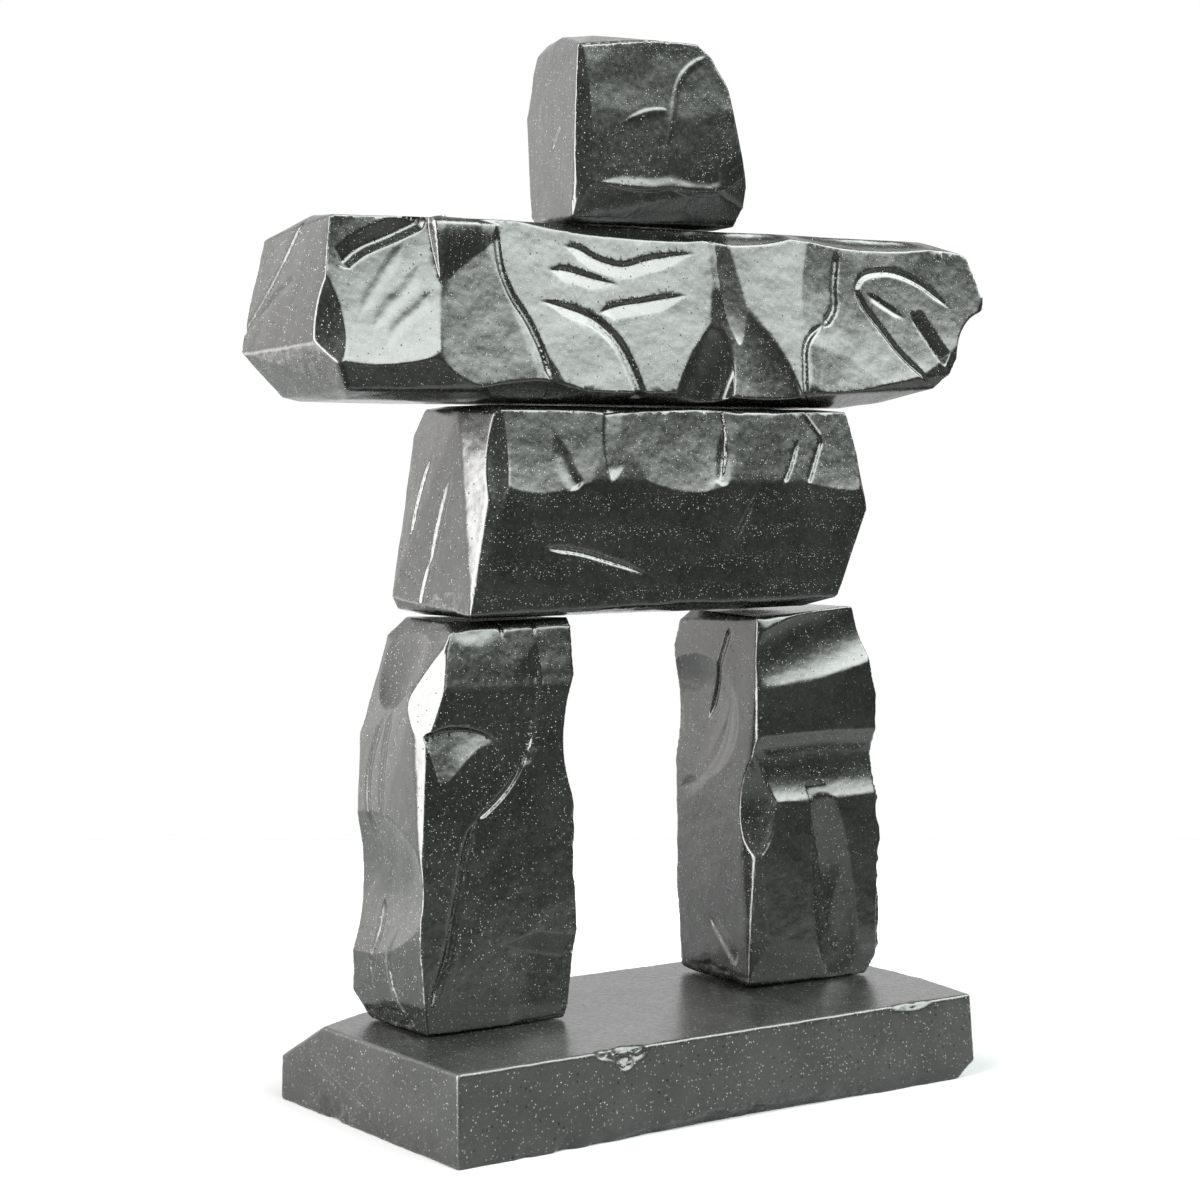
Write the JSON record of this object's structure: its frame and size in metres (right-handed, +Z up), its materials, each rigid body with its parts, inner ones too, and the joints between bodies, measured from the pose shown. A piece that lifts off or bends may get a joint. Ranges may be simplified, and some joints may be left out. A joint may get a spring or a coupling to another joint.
{
  "type": "inukshuk sculpture",
  "caption": "Stacked-stone inukshuk figure: hewn dark polished stones form legs, torso, outstretched arms and head on a sawn stone slab.",
  "frame": {"origin": "middle of the slab's underside, where the figure stands on a table", "axes": "+Z up; -Y is the front, where the carved faces look; +X is the viewer's right when facing the front"},
  "size_m": [0.2412, 0.095, 0.3024],
  "materials": {
    "stone": "polished dark grey-green stone with fine pale specks",
    "slab": "sawn matt dark grey stone with fine pale specks and chipped edges"
  },
  "bodies": {
    "root": {"base": "slab", "left_leg": "stone", "right_leg": "stone", "torso": "stone", "arms": "stone", "head": "stone"}
  },
  "joints": []
}
